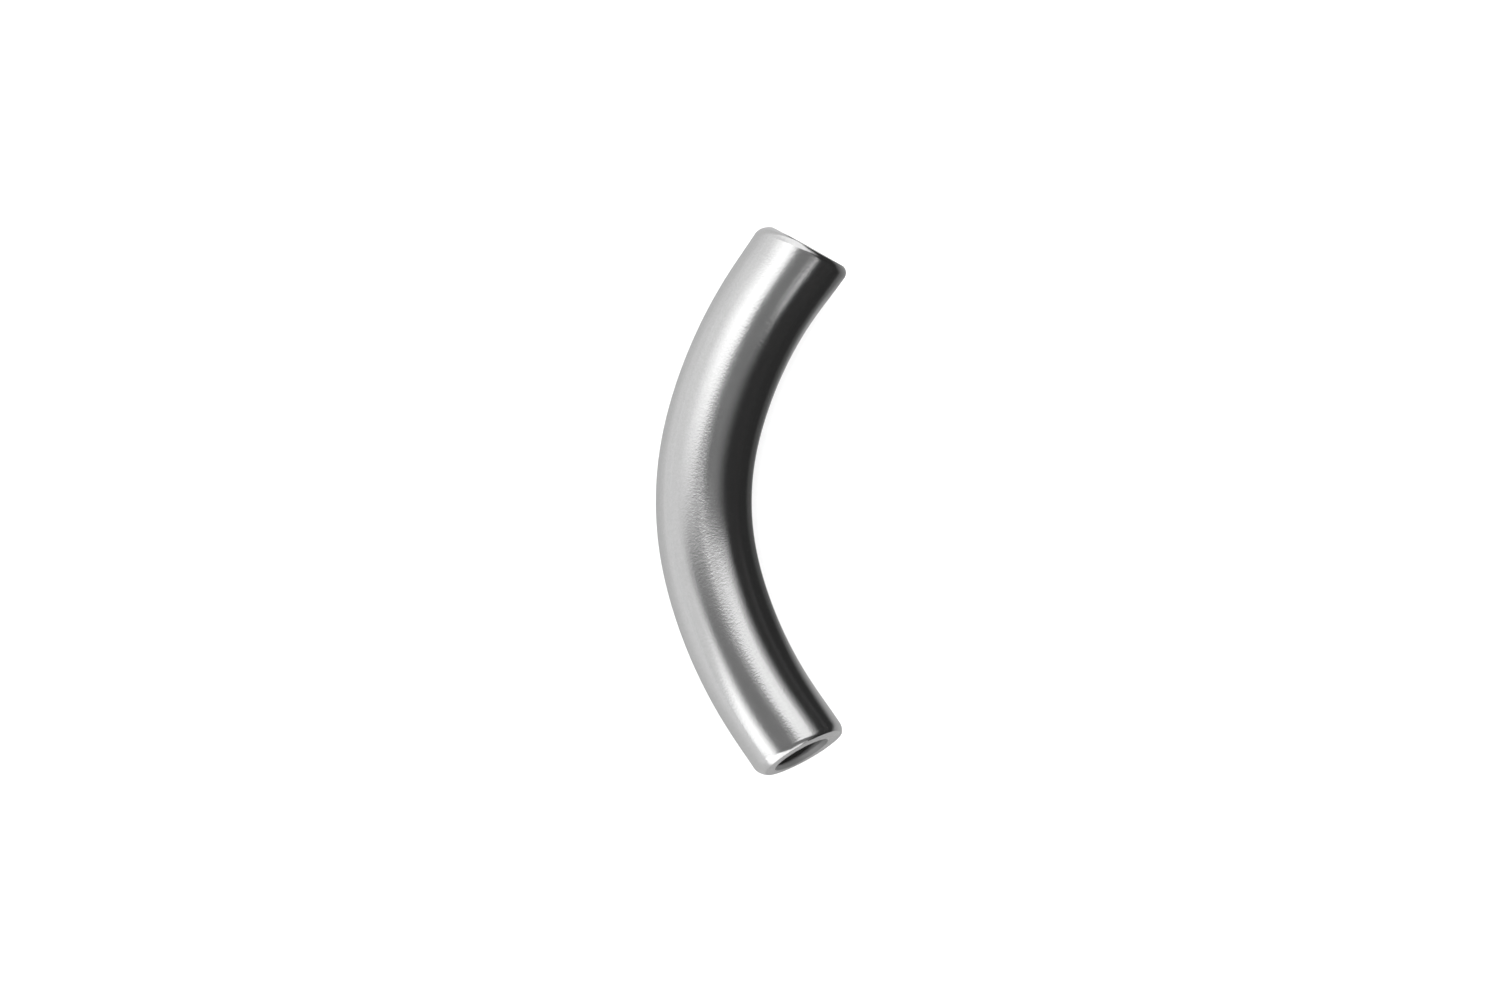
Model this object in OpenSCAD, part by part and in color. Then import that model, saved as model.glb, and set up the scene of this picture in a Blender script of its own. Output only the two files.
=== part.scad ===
// Curved eyebrow barbell: one bent round bar with a tapped hole in each end, lying on its side.
// Millimetres. It rests on z = 0 with its length along Y and its back towards -X.

/* [Bar] */
// Diameter of the round bar, 16 gauge
rod_d = 1.2; // [1.1:0.05:2]
// Radius of the tight bend in the middle, to the bar's axis
mid_bend_r = 3.76; // [2.5:0.01:8]
// Turn of the tight bend to each side of the middle, in degrees
mid_bend_deg = 14.4; // [5:0.1:25]
// Radius of the wider bend that follows on each side
side_bend_r = 5.6; // [4:0.1:12]
// Turn of each wider bend, in degrees
side_bend_deg = 19.8; // [5:0.1:30]
// Straight length from the wider bend to the end face
end_straight = 0.63; // [0.4:0.01:2]

/* [End faces] */
// Lean of each face back from square to the bar, left by the bending, in degrees
face_lean = 5; // [0:0.5:8]
// Radius of the rounded rim
rim_r = 0.17; // [0.05:0.01:0.2]
// Length of plain wall between the rim and the mitre where the lean begins
lip_land = 0.01; // [0.01:0.01:0.1]

/* [Tapped holes] */
// Inner diameter of the thread, at its crests
thread_minor_d = 0.68; // [0.5:0.02:0.76]
// Depth of the thread from the end face
thread_depth = 1.2; // [0.6:0.1:1.4]
// Width of the countersink's bevel around the thread
bevel_w = 0.04; // [0.01:0.01:0.08]
// Full angle of the countersink, in degrees
countersink_angle = 90; // [60:10:120]
// Full angle of the drill's point at the bottom, in degrees
drill_angle = 118; // [90:2:150]

/* [Hidden] */
$fn = 96;
rod_r = rod_d / 2;
bore_r = thread_minor_d / 2;
countersink_r = bore_r + bevel_w;
countersink_slope = tan(countersink_angle / 2);
countersink_h = bevel_w / countersink_slope;
drill_tip_h = bore_r / tan(drill_angle / 2);
// The last piece of the bar runs square to the face: its length on its own axis, from the mitre
lip_h = rim_r + rod_r * tan(face_lean / 2) + lip_land;
straight_h = end_straight - lip_h;
// How far the cutting tools reach past the face
cut = 0.1;
// Scale at which pieces are joined face to face
weld_scale = 0.01;

// Directions along the axis and to its left, at a turn of deg from the middle of the bar
function along(deg) = [sin(deg), cos(deg)];
function left_of(deg) = [-cos(deg), sin(deg)];

// Centres of the bends and points on the axis, from the middle of the bar at the origin
end_deg = mid_bend_deg + side_bend_deg;
face_deg = end_deg - face_lean;
mid_centre = [mid_bend_r, 0];
side_centre = mid_centre + (mid_bend_r - side_bend_r) * left_of(mid_bend_deg);
bend_end = side_centre + side_bend_r * left_of(end_deg);
face_centre = bend_end + straight_h * along(end_deg) + lip_h * along(face_deg);

// The back of the bar and the inner rims of its ends are its furthest points along X
rim_centre = face_centre - rim_r * along(face_deg) - (rod_r - rim_r) * left_of(face_deg);
shift_x = (rod_r - (rim_centre[0] + rim_r)) / 2;

// Joins pieces that meet face to face. They are joined small and then enlarged, so that a gap
// of rounding between two faces closes.
module weld() {
    scale(1 / weld_scale)
        union()
            for (i = [0 : $children - 1])
                scale(weld_scale)
                    children(i);
}

// A stretch of bent bar between two turns, with its axis on an arc about a centre
module bend(centre, r, from_deg, to_deg) {
    translate([centre[0], centre[1], 0])
        rotate([0, 0, 180 - to_deg])
            rotate_extrude(angle = to_deg - from_deg)
                translate([r, 0])
                    circle(r = rod_r);
}

// Everything on the +Y side of the plane y = 0, wide enough for the bar
module half_space() {
    translate([-rod_d, 0, -rod_d])
        cube(2 * rod_d);
}

// The straight stretch from the origin along +Y, cut off along the mitre
module straight_stretch() {
    difference() {
        rotate([-90, 0, 0])
            cylinder(r = rod_r, h = straight_h + rod_r);
        translate([0, straight_h, 0])
            rotate([0, 0, face_lean / 2])
                half_space();
    }
}

// The last piece from the mitre at the origin along +Y to the face, with the rounded rim
module rounded_lip() {
    difference() {
        rotate([-90, 0, 0])
            rotate_extrude()
                lip_profile();
        rotate([0, 0, 180 - face_lean / 2])
            half_space();
    }
}

// Half of the lip's section: it reaches back past the mitre, and a quarter circle rounds the rim
module lip_profile() {
    translate([0, -rod_r])
        square([rod_r, rod_r + lip_h - rim_r]);
    square([rod_r - rim_r, lip_h]);
    intersection() {
        translate([rod_r - rim_r, lip_h - rim_r])
            circle(r = rim_r);
        square([rod_r, lip_h]);
    }
}

// Puts children at the end of the wider bend, with +Y along the bar
module at_bend_end() {
    translate([bend_end[0], bend_end[1], 0])
        rotate([0, 0, -end_deg])
            children();
}

// Puts children at the mitre, with +Y square to the end face and out of it
module at_mitre() {
    at_bend_end()
        translate([0, straight_h, 0])
            rotate([0, 0, face_lean])
                children();
}

// The bar from the tight bend's end to the face
module side_of_bar() {
    weld() {
        bend(side_centre, side_bend_r, mid_bend_deg, end_deg);
        at_bend_end()
            straight_stretch();
        at_mitre()
            rounded_lip();
    }
}

// A drilled hole with the drill's point at its bottom and a countersunk mouth at the face
module tapped_hole() {
    at_mitre()
        translate([0, lip_h, 0])
            rotate([90, 0, 0]) {
                translate([0, 0, -cut])
                    cylinder(r = bore_r, h = thread_depth + cut);
                translate([0, 0, thread_depth])
                    cylinder(r1 = bore_r, r2 = 0, h = drill_tip_h);
                translate([0, 0, -cut])
                    cylinder(r1 = countersink_r + cut * countersink_slope, r2 = bore_r, h = countersink_h + cut);
            }
}

module curved_bar() {
    color("silver")
        translate([shift_x, 0, rod_r])
            difference() {
                weld() {
                    bend(mid_centre, mid_bend_r, -mid_bend_deg, mid_bend_deg);
                    side_of_bar();
                    mirror([0, 1, 0])
                        side_of_bar();
                }
                tapped_hole();
                mirror([0, 1, 0])
                    tapped_hole();
            }
}

curved_bar();
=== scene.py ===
import math

import bpy
import numpy as np
from mathutils import Matrix, Vector


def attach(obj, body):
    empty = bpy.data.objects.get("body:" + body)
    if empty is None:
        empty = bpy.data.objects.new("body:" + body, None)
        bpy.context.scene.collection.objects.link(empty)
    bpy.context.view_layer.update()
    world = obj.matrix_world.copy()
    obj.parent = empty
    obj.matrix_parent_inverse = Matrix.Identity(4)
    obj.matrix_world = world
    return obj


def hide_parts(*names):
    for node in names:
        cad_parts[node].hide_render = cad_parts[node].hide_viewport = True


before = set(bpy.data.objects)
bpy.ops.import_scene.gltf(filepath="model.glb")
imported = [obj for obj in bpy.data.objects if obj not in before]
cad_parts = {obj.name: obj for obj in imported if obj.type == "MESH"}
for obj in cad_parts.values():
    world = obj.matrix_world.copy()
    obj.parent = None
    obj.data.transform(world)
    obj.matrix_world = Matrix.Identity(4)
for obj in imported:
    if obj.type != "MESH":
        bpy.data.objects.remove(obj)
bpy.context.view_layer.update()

# The bar: one piece of round titanium rod, 1.2 mm thick, bent to a banana shape round a mandrel. Its ends are
# rounded at the rim and filed nearly square, then drilled, countersunk and tapped for the thread of a ball.
MM = 0.001
ROD_R = 0.6
BACK_X = -0.5559
MID_BEND_R, MID_BEND_DEG = 3.76, 14.4
SIDE_BEND_R, SIDE_BEND_DEG = 5.6, 19.8
STRAIGHT, FACE_LEAN_DEG, LIP = 0.4238, 5.0, 0.2062
# Lengths over which the tight bend passes into the wide one, and that one into the straight end
WIDE_BLEND, STRAIGHT_BLEND = 0.9, 0.5
BORE_R, THREAD_R, THREAD_PITCH, THREAD_START = 0.34, 0.45, 0.225, 0.5
THREAD_DEPTH, COUNTERSINK_R, COUNTERSINK_H, DRILL_ANGLE = 1.2, 0.38, 0.055, 118.0
AROUND, ALONG, ROWS_PER_PITCH = 160, 300, 15
# How much the mandrel pressed the rod flat in the middle of the bend, and how far along that reaches
PRESSED, PRESSED_REACH = 0.0226, 0.98
# Each end by its side, +1 or -1: the rim's radius, how much larger it is on the back and smaller on top,
# how far the lip is spread on the open side and how far back that reaches, and how the face is filed off
# towards its upper edge: how far back at the axis, and by how many degrees
RIM_R, RIM_SWAY, RIM_TOP = {1: 0.165, -1: 0.19}, {1: 0.05, -1: 0.045}, {1: 0.045, -1: 0.02}
SPREAD, SPREAD_REACH = {1: 0.064, -1: 0.03}, {1: 0.35, -1: 0.2}
FILED_BACK, FILED_DEG = {1: -0.013, -1: 0.044}, 5.7
FRONT_BLEND = 0.02


def smooth_step(q, middle, width):
    """0 before and 1 after the middle, rising as t * t * (3 - 2 t) over the width."""
    t = np.clip((q - middle) / width + 0.5, 0.0, 1.0)
    return t * t * (3.0 - 2.0 * t)


def bar_axis(stations):
    """Heading and place of the bar's axis at each station, a length along it from its middle. The curvature
    is 1 / radius of the tight bend, then of the wider one, then 0, with blends between. The heading is its
    sum, less the lean over the last stretch, and the place is the sum of (sin heading, cos heading)."""
    s = np.linspace(0.0, 3.6, 7201)
    ds = s[1] - s[0]
    bend_1 = MID_BEND_R * math.radians(MID_BEND_DEG)
    bend_2 = bend_1 + SIDE_BEND_R * math.radians(SIDE_BEND_DEG)
    mitre = bend_2 + STRAIGHT
    to_wide = smooth_step(s, bend_1, WIDE_BLEND)
    to_straight = smooth_step(s, bend_2, STRAIGHT_BLEND)
    curvature = 1 / MID_BEND_R + (1 / SIDE_BEND_R - 1 / MID_BEND_R) * to_wide - to_straight / SIDE_BEND_R
    heading = np.concatenate([[0.0], np.cumsum((curvature[1:] + curvature[:-1]) / 2) * ds])
    heading = heading - math.radians(FACE_LEAN_DEG) * smooth_step(s, mitre, 2 * LIP)
    mid = (heading[1:] + heading[:-1]) / 2
    x = np.concatenate([[0.0], np.cumsum(np.sin(mid)) * ds]) + BACK_X
    y = np.concatenate([[0.0], np.cumsum(np.cos(mid)) * ds])
    side, a = np.sign(stations), np.abs(stations)
    return side * np.interp(a, s, heading), np.interp(a, s, x), side * np.interp(a, s, y)


BENT_LENGTH = MID_BEND_R * math.radians(MID_BEND_DEG) + SIDE_BEND_R * math.radians(SIDE_BEND_DEG)
FACE_STATION = BENT_LENGTH + STRAIGHT + LIP
angle = np.linspace(0.0, 2 * math.pi, AROUND, endpoint=False)


def carried(stations, radius):
    """Rings carried along the axis: place of the axis + radius * (cos a * across + sin a * up) at each
    station and angle a. With them comes where each point lay in the straight rod: (radius cos a, station,
    radius sin a)."""
    heading, x, y = bar_axis(stations)
    reach = radius * np.cos(angle)
    rise = radius * np.sin(angle)
    points = np.stack([x + reach * np.cos(heading), y - reach * np.sin(heading), ROD_R + rise], -1)
    return points, np.stack([reach, stations + 0 * reach, rise], -1)


def wall(depth, side):
    """The rod's radius at a depth behind the face: ROD_R, and more on the open side, where the lip is spread.
    The spread falls off as exp(-depth / reach) and goes round as cos a squared, where cos a is above 0."""
    return ROD_R + SPREAD[side] * np.exp(-depth / SPREAD_REACH[side]) * np.maximum(np.cos(angle), 0) ** 2


def filed(side, up):
    """Depth of the filed face behind the square one, at a height over the axis: back + up * tan(degrees)."""
    return FILED_BACK[side] + up * math.tan(math.radians(FILED_DEG))


def rim_size(side):
    """The rim's radius round the end: RIM_R - RIM_SWAY * cos a - RIM_TOP * sin a * |sin a|."""
    return RIM_R[side] - RIM_SWAY[side] * np.cos(angle) - RIM_TOP[side] * np.sin(angle) * np.abs(np.sin(angle))


def rim_front(side):
    """Depth that the rim's circle would reach if it turned to 90 degrees: that of the square face or of the
    filed one at the rim's inner edge, whichever lies further out, blended over 0.02 mm."""
    p = filed(side, (ROD_R - rim_size(side)) * np.sin(angle))
    return (p - np.sqrt(p * p + FRONT_BLEND ** 2)) / 2


def rim_edge(side):
    """The turn and the radius at which the rim's circle meets the filed face, closed in on in four steps."""
    size, front = rim_size(side), rim_front(side)
    start = wall(front + size, side)
    radius = start - size
    for step in range(4):
        turn = np.arcsin(np.clip(1 - (filed(side, radius * np.sin(angle)) - front) / size, 0, 1))
        radius = start - size * (1 - np.cos(turn))
    return turn, radius


def rod():
    """The bent rod between the two rims, whose starts lean as the rims are of uneven width. In the middle it
    is pressed flat, above and below, by PRESSED * sin a squared * exp(-(station / reach) squared / 2)."""
    t = np.linspace(0.0, 1.0, ALONG)[:, None]
    low, high = (FACE_STATION - rim_front(side) - rim_size(side) for side in (-1, 1))
    stations = (1 - t) * -low + t * high
    radius = wall(FACE_STATION - stations, 1) + wall(FACE_STATION + stations, -1) - ROD_R
    radius = radius - PRESSED * np.exp(-(stations / PRESSED_REACH) ** 2 / 2) * np.sin(angle) ** 2
    points, straight = carried(stations, radius)
    return points, straight, np.zeros_like(radius)


def rounded_rim(side):
    """The rim of one end, a circle from the rod's wall to its edge with the filed face: depth = front + size
    * (1 - sin turn) and radius = start - size * (1 - cos turn)."""
    size, front = rim_size(side), rim_front(side)
    turn = np.concatenate([np.linspace(0.0, 1.0, 26)[1:-1], [0.99, 1.0]])[:, None] * rim_edge(side)[0]
    radius = wall(front + size, side) - size * (1 - np.cos(turn))
    points, straight = carried(side * (FACE_STATION - front - size * (1 - np.sin(turn))), radius)
    return points, straight, np.zeros_like(radius)


def tapped_hole(side):
    """The filed face, the countersink and the tapped bore of one end, down to the drill's point, all shifted
    back with the face. The bore's radius is BORE_R plus the thread's groove: with the phase p = depth /
    THREAD_PITCH + side * a / (2 pi) + THREAD_START, the groove rises from 0 to THREAD_R - BORE_R as
    |2 frac(p) - 1| falls from 0.8 to 0.08. It fades out at the mouth and at the bottom. The groove winds
    left-handed at both ends, and a real ball's thread is right-handed: -side would turn it round."""
    tip = BORE_R / math.tan(math.radians(DRILL_ANGLE / 2))
    sink = COUNTERSINK_R - BORE_R
    threaded = int(round((THREAD_DEPTH - COUNTERSINK_H) / THREAD_PITCH * ROWS_PER_PITCH))
    to_sink = np.concatenate([[0.006], np.linspace(0.0, 1.0, 10)[1:]])[:, None]
    down_bevel = np.linspace(0.12, 1.0, 6)[:-1]
    down_tip = np.linspace(0.0, 1.0, 12)[1:-1]
    depth = np.concatenate([
        np.zeros(len(to_sink)), [0.0008, 0.003], COUNTERSINK_H * down_bevel,
        np.linspace(COUNTERSINK_H, THREAD_DEPTH, threaded), THREAD_DEPTH + tip * down_tip])[:, None]
    flat = rim_edge(side)[1] * (1 - to_sink) + (COUNTERSINK_R + 0.003) * to_sink
    plain = np.concatenate([
        [COUNTERSINK_R + 0.001, COUNTERSINK_R - 0.0008], COUNTERSINK_R - sink * down_bevel,
        np.full(threaded, BORE_R), BORE_R * (1.0 - down_tip)])
    plain = np.concatenate([flat, np.repeat(plain[:, None], AROUND, 1)])
    phase = depth / THREAD_PITCH + side * angle / (2 * math.pi) + THREAD_START
    ridge = np.abs(2 * (phase - np.floor(phase)) - 1)
    groove = smooth_step(0.44 - ridge, 0.0, 0.72)
    cut = smooth_step(depth, COUNTERSINK_H + 0.02, 0.06) * (1 - smooth_step(depth, THREAD_DEPTH - 0.16, 0.16))
    radius = plain + (THREAD_R - BORE_R) * cut * groove
    points, straight = carried(np.full((len(depth), 1), side * FACE_STATION), radius)
    heading = bar_axis(np.array([side * FACE_STATION]))[0][0]
    inward = -side * np.array([math.sin(heading), math.cos(heading), 0.0])
    shift = depth + filed(side, radius * np.sin(angle))
    straight[..., 1] -= side * shift
    # in_hole marks the holes from the countersink down, where the finish paints shade
    in_hole = 1 + smooth_step(depth, 0.004, 0.012)
    return points + shift[..., None] * inward, straight, np.repeat(in_hole, AROUND, 1)


def whole_bar():
    """One closed skin: hole, rim, rod, rim and hole, row after row, and a point that closes each drill's
    tip."""
    low_hole, low_rim, high_rim, high_hole = tapped_hole(-1), rounded_rim(-1), rounded_rim(1), tapped_hole(1)
    strips = [[part[::-1] for part in low_hole], [part[::-1] for part in low_rim], rod(), high_rim, high_hole]
    grids = [np.concatenate(parts) for parts in zip(*strips)]
    rows = len(grids[0])
    i, j = np.meshgrid(np.arange(rows - 1), np.arange(AROUND), indexing="ij")
    k = (j + 1) % AROUND
    here, beyond = i * AROUND, (i + 1) * AROUND
    quads = np.stack([here + j, beyond + j, beyond + k, here + k], -1).reshape(-1, 4)
    tips, tip_places = [], []
    for row, side in ((0, -1), (rows - 1, 1)):
        tips.append(grids[0][row].mean(0))
        tip_places.append(grids[1][row].mean(0))
    j = np.arange(AROUND)
    k = (j + 1) % AROUND
    low_tip, high_tip = rows * AROUND, rows * AROUND + 1
    last = (rows - 1) * AROUND
    fans = np.concatenate([
        np.stack([np.full(AROUND, low_tip), j, k], -1),
        np.stack([last + j, np.full(AROUND, high_tip), last + k], -1)])
    points = np.concatenate([grids[0].reshape(-1, 3), tips])
    straight = np.concatenate([grids[1].reshape(-1, 3), tip_places])
    turned = np.concatenate([grids[2].ravel(), [2.0, 2.0]])
    return points * MM, quads, fans, straight, turned


def skin(name, points, quads, fans):
    """A smooth mesh from arrays of points, four-sided and three-sided faces."""
    mesh = bpy.data.meshes.new(name)
    mesh.vertices.add(len(points))
    mesh.vertices.foreach_set("co", points.astype(np.float32).ravel())
    corners = np.concatenate([quads.ravel(), fans.ravel()]).astype(np.int32)
    counts = np.concatenate([np.full(len(quads), 4), np.full(len(fans), 3)])
    mesh.loops.add(len(corners))
    mesh.loops.foreach_set("vertex_index", corners)
    mesh.polygons.add(len(counts))
    mesh.polygons.foreach_set("loop_start", (np.cumsum(counts) - counts).astype(np.int32))
    mesh.polygons.foreach_set("use_smooth", np.ones(len(counts), dtype=bool))
    mesh.update(calc_edges=True)
    mesh.validate()
    piece = bpy.data.objects.new(name, mesh)
    bpy.context.scene.collection.objects.link(piece)
    return piece


# turned tells the finish where it is: 0 on the rod and rims, 1 on the filed faces, 2 in the holes, where the
# finish paints shade
bar_points, bar_quads, bar_fans, bar_straight, bar_turned = whole_bar()
bar = skin("bent_bar", bar_points, bar_quads, bar_fans)
bar.data.attributes.new("straight_rod", "FLOAT_VECTOR", "POINT").data.foreach_set(
    "vector", bar_straight.astype(np.float32).ravel())
bar.data.attributes.new("turned", "FLOAT", "POINT").data.foreach_set("value", bar_turned.astype(np.float32))


class Finish:
    """A material's node tree, filled a node at a time."""

    def __init__(self, name, world=None):
        self.owner = world or bpy.data.materials.new(name)
        self.owner.use_nodes = True
        self.tree = self.owner.node_tree
        self.tree.nodes.clear()

    def add(self, kind, settings=None, **inputs):
        node = self.tree.nodes.new(kind)
        for key, value in (settings or {}).items():
            setattr(node, key, value)
        for key, value in inputs.items():
            numbered = key[0] == "i" and key[1:].isdigit()
            socket = node.inputs[int(key[1:]) if numbered else key.replace("_", " ")]
            if isinstance(value, bpy.types.NodeSocket):
                self.tree.links.new(value, socket)
            else:
                socket.default_value = value
        return node

    def math(self, operation, a, b=0.0, c=0.0):
        return self.add("ShaderNodeMath", {"operation": operation}, i0=a, i1=b, i2=c).outputs[0]

    def span(self, value, from_min, from_max, to_min=0.0, to_max=1.0, smooth=True):
        kind = "SMOOTHSTEP" if smooth else "LINEAR"
        node = self.add("ShaderNodeMapRange", {"interpolation_type": kind}, Value=value, From_Min=from_min,
                        From_Max=from_max, To_Min=to_min, To_Max=to_max)
        return node.outputs[0]

    def grain(self, place, stretch, scale, detail=3.0, roughness=0.55):
        """Noise of a given scale in a place that is first stretched along its three directions."""
        mapped = self.add("ShaderNodeMapping", {"vector_type": "POINT"}, Vector=place, Scale=stretch)
        noise = self.add("ShaderNodeTexNoise", None, Vector=mapped.outputs[0], Scale=scale, Detail=detail,
                         Roughness=roughness)
        return noise.outputs["Fac"]


# A satin polish. Noise sizes are in grains to the millimetre, and the heights under the bump in thousandths
# of a millimetre. The holes are rougher, and painted darker with less metal in them, as painted shade for
# the inside of the holes. The holes are rougher and darker, as the photo's is dark.
satin = Finish("satin_titanium")
place = satin.add("ShaderNodeAttribute", {"attribute_name": "straight_rod"}).outputs["Vector"]
turned = satin.add("ShaderNodeAttribute", {"attribute_name": "turned"}).outputs["Fac"]
speckle = satin.grain(place, (1, 1, 1), 34.0, 2.0, 0.7)
drawn = satin.grain(place, (1, 0.06, 1), 22.0, 2.0)
rubbed = satin.grain(place, (0.12, 1, 0.12), 26.0, 2.0)
wavy = satin.grain(place, (1, 0.45, 1), 3.6, 1.0)
cloudy = satin.grain(place, (1, 0.5, 1), 2.2, 2.0)
height = satin.math("ADD", satin.math("MULTIPLY", speckle, 1.0), satin.math("MULTIPLY", drawn, 0.3))
height = satin.math("ADD", height, satin.math("MULTIPLY", rubbed, 0.15))
height = satin.math("ADD", height, satin.math("MULTIPLY", wavy, 0.9))
bump = satin.add("ShaderNodeBump", None, Strength=1.0, Distance=0.000001, Height=height)
polish = satin.math("ADD", satin.span(cloudy, 0.3, 0.7, 0.13, 0.15), satin.math("MULTIPLY", speckle, 0.02))
rough = satin.math("ADD", polish, satin.math("ADD", satin.span(turned, 0.0, 1.0, 0.0, 0.08, False),
                                            satin.span(turned, 1.0, 2.0, 0.0, 0.25, False)))
streaks = satin.math("ADD", satin.math("MULTIPLY", drawn, 0.25), satin.math("MULTIPLY", rubbed, 0.15))
streaks = satin.math("ADD", satin.math("MULTIPLY", speckle, 0.6), streaks)
shade = satin.add("ShaderNodeMix", {"data_type": "RGBA"}, i0=satin.span(streaks, 0.35, 0.65, smooth=False),
                  i6=(0.565, 0.565, 0.565, 1.0), i7=(0.635, 0.635, 0.635, 1.0)).outputs[2]
# Painted shade: in the holes the colour is mixed to dark grey, and below the metal is made less metallic,
# standing in for the shade inside them
shade = satin.add("ShaderNodeMix", {"data_type": "RGBA"}, i0=satin.span(turned, 1.0, 2.0), i6=shade,
                  i7=(0.18, 0.18, 0.18, 1.0)).outputs[2]
metal = satin.add("ShaderNodeBsdfPrincipled", None, Base_Color=shade, Roughness=rough,
                  Metallic=satin.span(turned, 1.0, 2.0, 1.0, 0.6), Normal=bump.outputs[0])
satin.add("ShaderNodeOutputMaterial", None, Surface=metal.outputs[0])
bar.data.materials.append(satin.owner)
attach(bar, "root")
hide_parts("curved_bar")

# The tabletop: a plain sheet of white card that the bar lies on. It isn't part of the object. The camera sees
# it white, and a second sheet in the same place is what the metal mirrors: grey to the left, black to the
# right, with tones set by the photo.
def sheet(name, half, height=0.0):
    """A flat square, open sheet of a given half width, at a height over the floor."""
    mesh = bpy.data.meshes.new(name)
    corners = [(-half, -half, height), (half, -half, height), (half, half, height), (-half, half, height)]
    mesh.from_pydata(corners, [], [(0, 1, 2, 3)])
    piece = bpy.data.objects.new(name, mesh)
    bpy.context.scene.collection.objects.link(piece)
    return piece


def only_mirrored(piece):
    """Hides a piece from every ray but those that a gloss sends out."""
    for ray in ("camera", "diffuse", "shadow", "transmission", "volume_scatter"):
        setattr(piece, "visible_" + ray, False)


TABLE_HALF = 0.4
tabletop = sheet("tabletop", TABLE_HALF)
white_card = Finish("white_card")
card = white_card.add("ShaderNodeTexCoord").outputs["Object"]
fibres = white_card.grain(card, (1, 1, 1), 9000.0, 3.0)
card_tone = white_card.add("ShaderNodeMix", {"data_type": "RGBA"}, i0=fibres, i6=(0.90, 0.90, 0.90, 1.0),
                           i7=(0.93, 0.93, 0.93, 1.0)).outputs[2]
matte = white_card.add("ShaderNodeBsdfPrincipled", None, Base_Color=card_tone, Roughness=0.9)
white_card.add("ShaderNodeOutputMaterial", None, Surface=matte.outputs[0])
tabletop.data.materials.append(white_card.owner)
tabletop.visible_glossy = False

# Painted reflection: this sheet takes the white tabletop's place in the metal's reflections only, and its
# tones carry painted shade and painted light.
# Places on it are in metres: past_bar is how far to the right of the bar's bow, the rest are read off by name
mirrored_table = sheet("mirrored_table", TABLE_HALF, 0.000001)
grey_card = Finish("grey_and_black_card")
spot_x, spot_y = grey_card.add("ShaderNodeSeparateXYZ", None, Vector=grey_card.add(
    "ShaderNodeTexCoord").outputs["Object"]).outputs[:2]
bow = grey_card.math("MULTIPLY", grey_card.math("MULTIPLY", spot_y, spot_y), 260.0)
past_bar = grey_card.math("SUBTRACT", spot_x, grey_card.math("MINIMUM", bow, 0.0012))
away = grey_card.math("SQRT", grey_card.math("ADD", grey_card.math("POWER", spot_x, 2.0), grey_card.math(
    "POWER", spot_y, 2.0)))
near = grey_card.math("MULTIPLY", grey_card.span(away, 0.0055, 0.008, 1.0, 0.0),
                      grey_card.span(spot_x, -0.0001, 0.0004))
# Painted shade: the grey darkens towards the bar from the left; beside the bar's ends it is painted darker by
# the lower end and lighter by the upper one.
card_tone = grey_card.span(past_bar, -0.005, -0.0012, 0.436, 0.357)
at_ends = grey_card.math("MULTIPLY", grey_card.span(spot_y, -0.0034, -0.0029, 0.88, 1.0),
                         grey_card.span(spot_y, 0.0034, 0.0046, 1.0, 1.2))
card_tone = grey_card.math("MULTIPLY", card_tone, grey_card.math("ADD", 1.0, grey_card.math(
    "MULTIPLY", grey_card.math("SUBTRACT", at_ends, 1.0), near)))
# Painted light: far in front on the left the sheet is painted lighter.
slanted = grey_card.math("SUBTRACT", spot_y, spot_x)
in_front = grey_card.math("MULTIPLY", grey_card.span(slanted, -0.0065, -0.0045, 1.0, 0.0),
                          grey_card.span(spot_x, -0.0015, 0.0005, 1.0, 0.0))
card_tone = grey_card.math("ADD", card_tone, grey_card.math("MULTIPLY", in_front, grey_card.math(
    "SUBTRACT", 0.85, card_tone)))
# Painted light: just past the bar's bend the black is painted lighter, more so towards the bar's ends.
near_tone = grey_card.math("ADD", grey_card.span(spot_y, -0.0025, -0.0009, 0.27, 0.0), grey_card.span(
    spot_y, 0.0016, 0.003, 0.0, 0.1))
black_tone = grey_card.math("ADD", 0.018, grey_card.math("MULTIPLY", near_tone, grey_card.span(
    past_bar, 0.0006, 0.0042, 0.8, 0.0)))
black_tone = grey_card.math("ADD", black_tone, grey_card.span(past_bar, 0.0006, 0.0015, 0.045, 0.0))
# Painted shade: past the bar's bend the sheet turns black.
to_black = grey_card.span(past_bar, -0.0004, 0.0006)
card_tone = grey_card.math("ADD", card_tone, grey_card.math("MULTIPLY", to_black, grey_card.math(
    "SUBTRACT", black_tone, card_tone)))
matte = grey_card.add("ShaderNodeBsdfDiffuse", None, Color=card_tone)
grey_card.add("ShaderNodeOutputMaterial", None, Surface=matte.outputs[0])
mirrored_table.data.materials.append(grey_card.owner)
only_mirrored(mirrored_table)

# The light tent: a dome of white cloth round the table, which only the metal mirrors. Lamps make parts of it
# glow, it is dim round the camera's opening, and a black cloth hangs on the side of the bar's bend. It is
# worked out on a flattened map of directions: map_x and map_y are degrees from straight up, to the right
# and up the picture. The patches' places and levels were fitted to the tones that the photo's bar mirrors.
ROOM_LIGHT = 2.1
TENT_R = 1.0
TENT_BASE = 0.92


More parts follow.
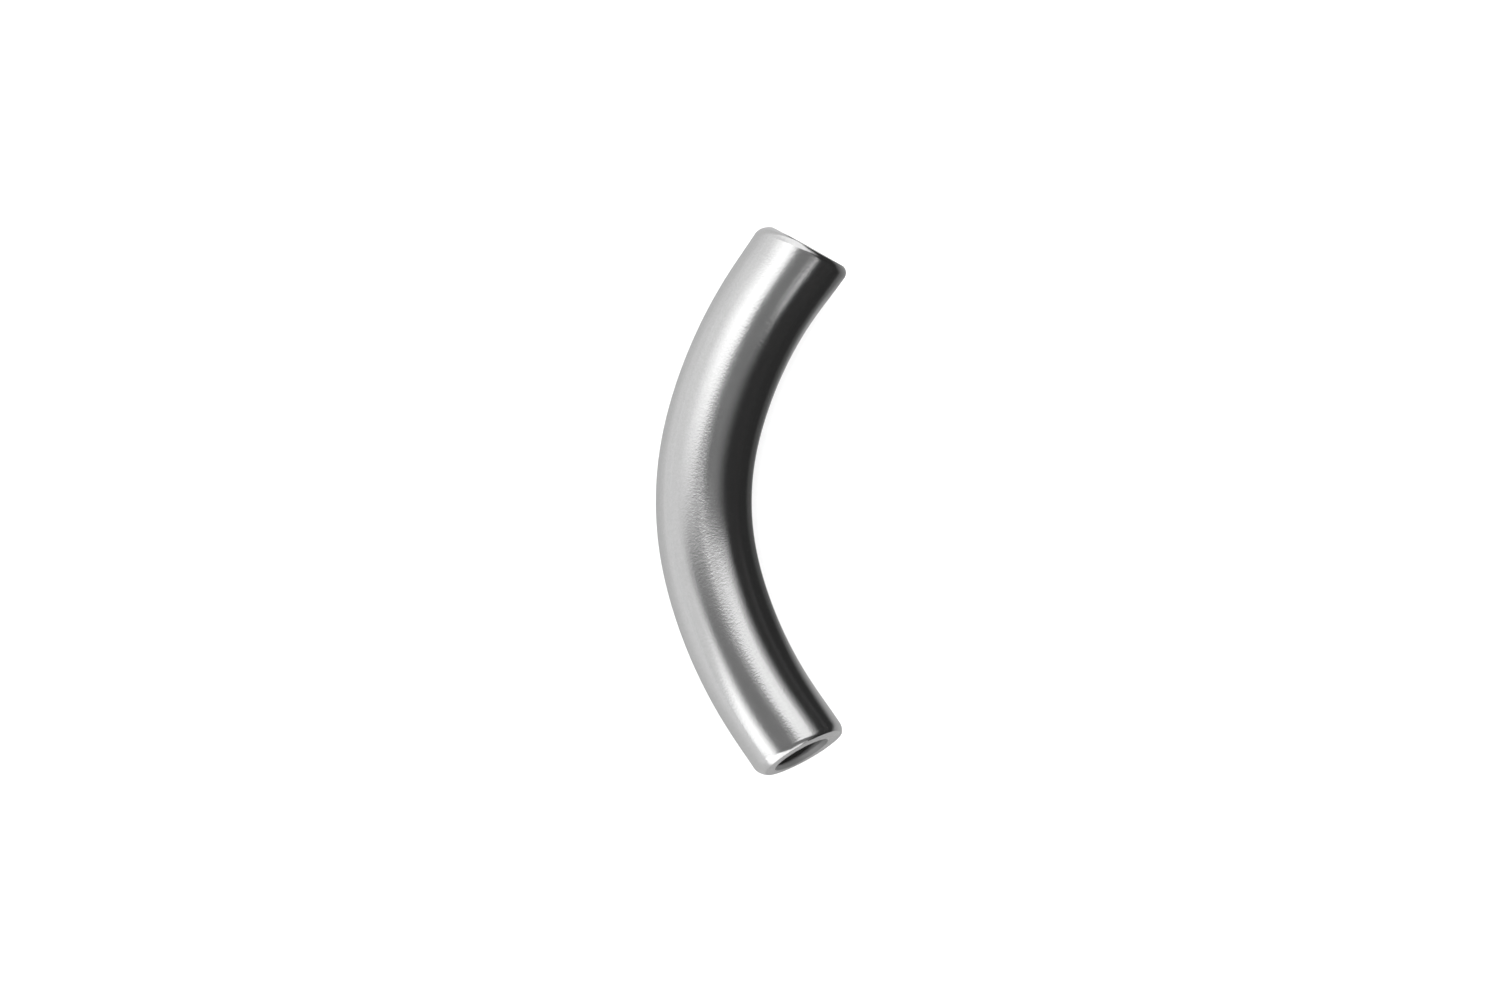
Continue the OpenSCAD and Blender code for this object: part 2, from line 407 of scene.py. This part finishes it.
def dome(name, radius, rows=48, around=96):
    """A sphere: radius * (sin t cos a, sin t sin a, cos t) for t from 0 to pi."""
    t = np.linspace(0.0, math.pi, rows + 2)[1:-1, None]
    a = np.linspace(0.0, 2 * math.pi, around, endpoint=False)[None, :]
    grid = np.stack([np.sin(t) * np.cos(a), np.sin(t) * np.sin(a), np.cos(t) + 0 * a], -1).reshape(-1, 3)
    points = np.concatenate([grid, [[0, 0, 1], [0, 0, -1]]]) * radius
    i, j = np.meshgrid(np.arange(rows - 1), np.arange(around), indexing="ij")
    k = (j + 1) % around
    here, beyond = i * around, (i + 1) * around
    quads = np.stack([here + j, beyond + j, beyond + k, here + k], -1).reshape(-1, 4)
    j = np.arange(around)
    k = (j + 1) % around
    top, bottom = rows * around, rows * around + 1
    last = (rows - 1) * around
    fans = np.concatenate([np.stack([np.full(around, top), j, k], -1),
                           np.stack([last + j, np.full(around, bottom), last + k], -1)])
    return skin(name, points, quads, fans)


tent = dome("light_tent", TENT_R)
cloth = Finish("glowing_cloth")
aim = cloth.add("ShaderNodeVectorMath", {"operation": "NORMALIZE"},
                i0=cloth.add("ShaderNodeTexCoord").outputs["Object"])
aim_x, aim_y, aim_z = cloth.add("ShaderNodeSeparateXYZ", None, Vector=aim.outputs[0]).outputs[:3]
from_zenith = cloth.math("MULTIPLY", cloth.math("ARCCOSINE", aim_z), 180 / math.pi)
flat = cloth.math("SQRT", cloth.math("ADD", cloth.math("POWER", aim_x, 2.0), cloth.math("POWER", aim_y, 2.0)))
stretch = cloth.math("DIVIDE", from_zenith, cloth.math("MAXIMUM", flat, 0.00001))
map_x, map_y = cloth.math("MULTIPLY", aim_x, stretch), cloth.math("MULTIPLY", aim_y, stretch)
compass = cloth.math("MULTIPLY", cloth.math("ARCTAN2", aim_y, aim_x), 180 / math.pi)


def tilted(slope):
    """map_y less a slope times map_x, for an edge of the tent's cloth that isn't level."""
    return cloth.math("SUBTRACT", map_y, cloth.math("MULTIPLY", map_x, slope))


def fade(q, edge, soft, rising=True):
    """0 to 1, or 1 to 0, across an edge of the flattened tent, in degrees."""
    low, high = edge - soft / 2, edge + soft / 2
    return cloth.span(q, low, high) if rising else cloth.span(q, low, high, 1.0, 0.0)


def overlay(tone, level, *masks):
    """The tent's tone, turned to a level where all the masks are 1."""
    mask = masks[0]
    for other in masks[1:]:
        mask = cloth.math("MULTIPLY", mask, other)
    return cloth.math("ADD", tone, cloth.math("MULTIPLY", cloth.math("SUBTRACT", level, tone), mask))


past_left = cloth.math("SUBTRACT", cloth.math("MULTIPLY", map_x, math.sin(math.radians(46))),
                       cloth.math("MULTIPLY", map_y, math.cos(math.radians(46))))
past_far = cloth.math("ADD", cloth.math("MULTIPLY", map_x, math.sin(math.radians(34))),
                      cloth.math("MULTIPLY", map_y, math.cos(math.radians(34))))
roof_edge = cloth.span(map_x, 1, 30, 8.1, 14.2, False)
above_edge = cloth.math("SUBTRACT", map_y, roof_edge)
black_reach = cloth.math("SUBTRACT", from_zenith, cloth.math("ADD", cloth.math("MULTIPLY", cloth.math(
    "MAXIMUM", map_y, 0.0), 0.3), cloth.math("MULTIPLY", cloth.math("MINIMUM", map_y, 0.0), -0.13)))
tone = cloth.math("ADD", TENT_BASE, cloth.math("MULTIPLY", map_y, 0.0017))
# The dim opening round the camera and its grey flap on the left, with a slit of light
tone = overlay(tone, 0.254, fade(above_edge, 0, 3.4, False), fade(tilted(0.763), 14.4, 9.3, False))
flap_edge = cloth.math("ADD", cloth.span(map_x, -45, -18, 1.1, 7.4, False),
                       cloth.span(map_x, -7, 5, 0.0, -9.0, False))
tone = overlay(tone, 0.257, fade(cloth.math("SUBTRACT", map_y, flap_edge), 0, 13, False), fade(cloth.math(
    "ADD", map_x, cloth.math("MULTIPLY", map_y, 0.59)), -51.8, 30))
off_slit = cloth.math("ABSOLUTE", cloth.math("SUBTRACT", tilted(-0.28), 1.97))
tone = overlay(tone, 0.62, fade(off_slit, 0.84, 2, False), fade(map_x, -19, 5), fade(map_x, 6.3, 5, False))
# The white roof, the lamp behind it on the left, and a dark seam
tone = overlay(tone, 1.4, fade(above_edge, 0, 3.4), fade(map_x, -19.9, 36))
tone = overlay(tone, 2.31, fade(map_x, -36.5, 60), fade(map_x, 1.1, 7.6, False), fade(map_y, 13.3, 22.4),
               fade(past_far, 7.5, 5, False))
off_seam = cloth.math("ABSOLUTE", cloth.math("SUBTRACT", tilted(-0.069), 6.03))
tone = overlay(tone, 0.02, fade(off_seam, 0.6, 1, False), fade(map_x, -18.4, 4), fade(map_x, 12, 4, False))
# The lamps low on the left and in front, and two strips of light below the camera
tone = overlay(tone, 1.85, fade(past_left, -28.1, 11.3), fade(from_zenith, 56, 30),
               fade(map_x, -5, 10, False))
front_tone = cloth.span(map_x, -32, -18, 1.9, 1.55)
tone = overlay(tone, front_tone, fade(map_y, -39, 6, False), fade(map_x, -40, 10), fade(map_x, 5, 10, False))
tone = overlay(tone, 1.4, fade(tilted(0.9), -37, 6, False), fade(map_x, 27, 10, False), fade(map_x, 0, 10),
               fade(from_zenith, 62, 8, False))
off_strip = cloth.math("ABSOLUTE", cloth.math("ADD", cloth.math("MULTIPLY", map_x, 0.47), cloth.math(
    "MULTIPLY", map_y, 0.88)))
along_strip = cloth.math("SUBTRACT", cloth.math("MULTIPLY", map_x, 0.88), cloth.math("MULTIPLY", map_y, 0.47))
tone = overlay(tone, 2.2, fade(off_strip, 2.2, 3, False), fade(along_strip, 36, 6),
               fade(along_strip, 48, 10, False))
# The black cloth on the right, a little lighter low in front, and the grey card that hangs there
black_tone = cloth.math("MULTIPLY", fade(from_zenith, 86, 20), fade(compass, 18, 14))
black_tone = cloth.math("ADD", 0.042, cloth.math("MULTIPLY", black_tone, 0.05))
beside_roof = cloth.math("MAXIMUM", fade(map_x, 32.5, 6), fade(map_y, 22, 14, False))
tone = overlay(tone, black_tone, fade(black_reach, 38, 34.7), fade(map_x, 5, 20), fade(compass, -42, 6),
               fade(compass, 74, 8, False), beside_roof)
tone = overlay(tone, 0.45, fade(from_zenith, 64, 8), fade(compass, -42, 6, False), fade(compass, -90, 16))
# The room lights the cloth with nearly all of its strength, and only what is brighter glows by itself
REACHES_CLOTH, WHITEST_CLOTH = 2.07, 0.8
cloth_shade = cloth.math("MINIMUM", cloth.math("DIVIDE", tone, REACHES_CLOTH), WHITEST_CLOTH)
lit = cloth.add("ShaderNodeBsdfDiffuse", None, Color=cloth_shade)
glow = cloth.add("ShaderNodeEmission", None, Color=(1, 1, 1, 1), Strength=cloth.math(
    "MAXIMUM", cloth.math("SUBTRACT", tone, REACHES_CLOTH * WHITEST_CLOTH), 0.0))
both = cloth.add("ShaderNodeAddShader", None, i0=lit.outputs[0], i1=glow.outputs[0])
cloth.add("ShaderNodeOutputMaterial", None, Surface=both.outputs[0])
tent.data.materials.append(cloth.owner)
only_mirrored(tent)

# The room's light: even white light from all round, and a large soft lamp above on the left, for a faint
# shadow.
room = bpy.data.worlds.new("white_room")
bpy.context.scene.world = room
white = Finish("white_room", room)
walls = white.add("ShaderNodeBackground", None, Color=(1.0, 1.0, 1.0, 1.0), Strength=ROOM_LIGHT)
white.add("ShaderNodeOutputWorld", None, Surface=walls.outputs[0])

lamp_data = bpy.data.lights.new("soft_lamp", "AREA")
lamp_data.shape = "SQUARE"
lamp_data.size = 0.08
lamp_data.energy = 0.004
soft_lamp = bpy.data.objects.new("soft_lamp", lamp_data)
bpy.context.scene.collection.objects.link(soft_lamp)
LAMP_AT = Vector((-0.06, 0.05, 0.11))
soft_lamp.matrix_world = Matrix.Translation(LAMP_AT) @ LAMP_AT.to_track_quat("Z", "Y").to_matrix().to_4x4()
soft_lamp.visible_glossy = False

# The camera: above the table, 6 degrees from straight down, with a long lens, as the photograph was taken. It
# stays nearer than 0.6 m: the other views keep the lens, and would stand beyond their own far clip.
CAMERA_AWAY, FRAME_WIDE = 0.4, 0.01875
PICTURE_MIDDLE = Vector((0.000022, 0.000014, 0.0006))
camera_data = bpy.data.cameras.new("camera")
camera_data.sensor_fit = "HORIZONTAL"
camera_data.sensor_width = 36.0
camera_data.lens = 36.0 * CAMERA_AWAY / FRAME_WIDE
camera_data.clip_start, camera_data.clip_end = 0.01, 5.0
camera = bpy.data.objects.new("camera", camera_data)
bpy.context.scene.collection.objects.link(camera)
back = Vector((math.tan(math.radians(1.0)), -math.tan(math.radians(6.0)), 1.0)).normalized()
right = Vector((0.0, 1.0, 0.0)).cross(back).normalized()
upward = back.cross(right)
turn = Matrix((right, upward, back)).transposed().to_4x4()
camera.matrix_world = Matrix.Translation(PICTURE_MIDDLE + back * CAMERA_AWAY) @ turn
bpy.context.scene.camera = camera
bpy.context.scene.view_settings.view_transform = "Standard"
